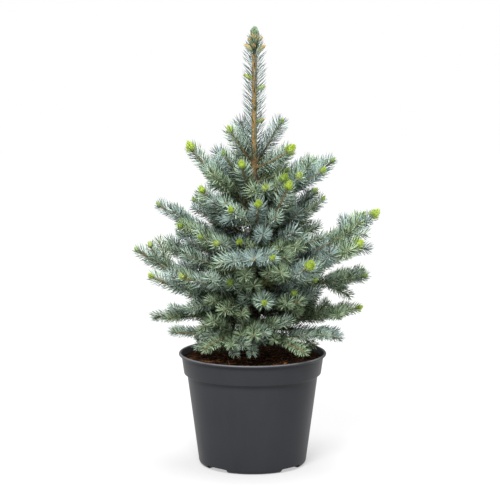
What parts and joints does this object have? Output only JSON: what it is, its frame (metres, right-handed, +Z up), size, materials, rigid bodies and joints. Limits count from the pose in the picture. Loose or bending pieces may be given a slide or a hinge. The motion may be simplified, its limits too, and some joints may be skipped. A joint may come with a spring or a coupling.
{
  "type": "potted blue spruce",
  "caption": "Young blue spruce with a tall leader and whorls of stiff blue-grey needles, standing in compost in a dark grey round nursery pot.",
  "frame": {"origin": "centre of the pot's flat underside", "axes": "+Z up along the stem, +X to the right and -Y towards a viewer of the front"},
  "size_m": [0.383, 0.3245, 0.68],
  "materials": {
    "pot_plastic": "dark grey blow-moulded polypropylene with a satin skin",
    "compost": "dark brown bark and peat compost, rough and matt",
    "bark": "thin orange-brown bark, ridged with needle pegs, darker on old wood",
    "needles": "stiff waxy needles, pale blue-grey outside and dark green inside",
    "young_growth": "soft lime-green tufts of new needles and papery orange-brown bud scales"
  },
  "bodies": {
    "root": {"compost": "compost", "core_front_left_needles": "needles", "core_front_needles": "needles", "core_front_right_needles": "needles", "inner_left_needles": "needles", "inner_right_needles": "needles", "leader_needles": "needles", "leader_tip": "young_growth", "low_back_left_bough": "bark", "low_back_left_needles": "needles", "low_back_right_bough": "bark", "low_back_right_needles": "needles", "low_front_left_needles": "needles", "low_front_needles": "needles", "low_front_right_needles": "needles", "low_left_back_bough": "bark", "low_left_back_needles": "needles", "low_left_bough": "bark", "low_left_front_needles": "needles", "low_left_needles": "needles", "low_left_outer_needles": "needles", "low_right_back_bough": "bark", "low_right_back_needles": "needles", "low_right_bough": "bark", "low_right_front_bough": "bark", "low_right_front_needles": "needles", "low_right_needles": "needles", "middle_back_left_bough": "bark", "middle_back_left_needles": "needles", "middle_back_needles": "needles", "middle_back_right_bough": "bark", "middle_back_right_needles": "needles", "middle_front_left_needles": "needles", "middle_front_needles": "needles", "middle_front_right_needles": "needles", "middle_left_bough": "bark", "middle_left_needles": "needles", "middle_right_needles": "needles", "pot": "pot_plastic", "skirt_back_left_needles": "needles", "skirt_back_needles": "needles", "skirt_back_right_needles": "needles", "skirt_front_left_needles": "needles", "skirt_front_needles": "needles", "skirt_front_right_needles": "needles", "skirt_left_front_needles": "needles", "skirt_left_needles": "needles", "skirt_right_front_needles": "needles", "skirt_right_needles": "needles", "top_left_back_needles": "needles", "top_left_front_needles": "needles", "top_right_front_needles": "needles", "top_right_needles": "needles", "trunk": "bark", "upper_back_left_needles": "needles", "upper_back_right_needles": "needles", "upper_front_left_needles": "needles", "upper_front_right_needles": "needles", "upper_left_needles": "needles", "upper_right_needles": "needles"}
  },
  "joints": []
}
